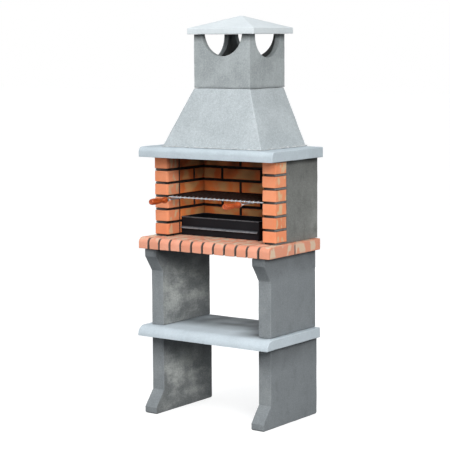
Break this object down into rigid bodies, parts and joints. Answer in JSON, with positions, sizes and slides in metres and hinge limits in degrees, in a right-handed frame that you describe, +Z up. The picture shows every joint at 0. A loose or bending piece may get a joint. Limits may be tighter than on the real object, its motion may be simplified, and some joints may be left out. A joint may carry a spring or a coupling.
{
  "type": "outdoor masonry barbecue",
  "caption": "Free-standing concrete and brick barbecue with a hearth, a brick-lined firebox, a hood and chimney, a sliding wire grill and a charcoal box with an ash drawer.",
  "frame": {"origin": "on the ground, under the middle of the box round the whole barbecue with its handles", "axes": "+Z up, +X to the right as seen from the front, +Y to the upright back, so the handles point along -Y"},
  "size_m": [0.795, 0.5996, 1.9535],
  "materials": {
    "cast_concrete_leg": "matte",
    "smooth_concrete": "satin",
    "hood_concrete": "matte",
    "chimney_concrete": "matte",
    "casing_concrete": "matte",
    "brick": "matte",
    "lining_brick": "matte",
    "mortar": "matte",
    "bright_wire": "satin",
    "ferrule_metal": "satin",
    "turned_wood": "satin",
    "black_steel": "satin"
  },
  "bodies": {
    "masonry": {"back_casing": "casing_concrete", "back_lining": "lining_brick", "chimney": "chimney_concrete", "chimney_cap": "smooth_concrete", "hearth_brick_01": "brick", "hearth_brick_02": "brick", "hearth_brick_03": "brick", "hearth_brick_04": "brick", "hearth_brick_05": "brick", "hearth_brick_06": "brick", "hearth_brick_07": "brick", "hearth_brick_08": "brick", "hearth_brick_09": "brick", "hearth_brick_10": "brick", "hearth_brick_11": "brick", "hearth_brick_12": "brick", "hearth_mortar": "mortar", "hearth_nose_brick_01": "brick", "hearth_nose_brick_02": "brick", "hearth_nose_brick_03": "brick", "hearth_nose_brick_04": "brick", "hearth_nose_brick_05": "brick", "hearth_nose_brick_06": "brick", "hearth_nose_brick_07": "brick", "hearth_nose_brick_08": "brick", "hearth_nose_brick_09": "brick", "hearth_nose_brick_10": "brick", "hearth_nose_brick_11": "brick", "hearth_nose_brick_12": "brick", "hood": "hood_concrete", "left_casing": "casing_concrete", "left_lining": "lining_brick", "left_pillar_brick_1": "brick", "left_pillar_brick_2": "brick", "left_pillar_brick_3": "brick", "left_pillar_brick_4": "brick", "left_pillar_brick_5": "brick", "left_pillar_brick_6": "brick", "lower_leg_left": "cast_concrete_leg", "lower_leg_right": "cast_concrete_leg", "mantel_slab": "smooth_concrete", "right_casing": "casing_concrete", "right_lining": "lining_brick", "right_pillar_brick_1": "brick", "right_pillar_brick_2": "brick", "right_pillar_brick_3": "brick", "right_pillar_brick_4": "brick", "right_pillar_brick_5": "brick", "right_pillar_brick_6": "brick", "shelf_slab": "smooth_concrete", "upper_leg_left": "cast_concrete_leg", "upper_leg_right": "cast_concrete_leg"},
    "grill": {"grill": "bright_wire", "left_handle": "turned_wood", "right_handle": "turned_wood", "left_ferrule": "ferrule_metal", "right_ferrule": "ferrule_metal"},
    "charcoal_box": {"charcoal_box": "black_steel", "charcoal_grate": "black_steel"},
    "ash_drawer": {"ash_drawer": "black_steel"}
  },
  "joints": [
    {"name": "grill_slide", "type": "slide", "parent": "masonry", "child": "grill", "axis": [0, -1, 0], "range_m": [0, 0.2]},
    {"name": "charcoal_box_slide", "type": "slide", "parent": "masonry", "child": "charcoal_box", "axis": [0, -1, 0], "range_m": [0, 0.18]},
    {"name": "ash_drawer_slide", "type": "slide", "parent": "charcoal_box", "child": "ash_drawer", "axis": [0, -1, 0], "range_m": [0, 0.15]}
  ]
}
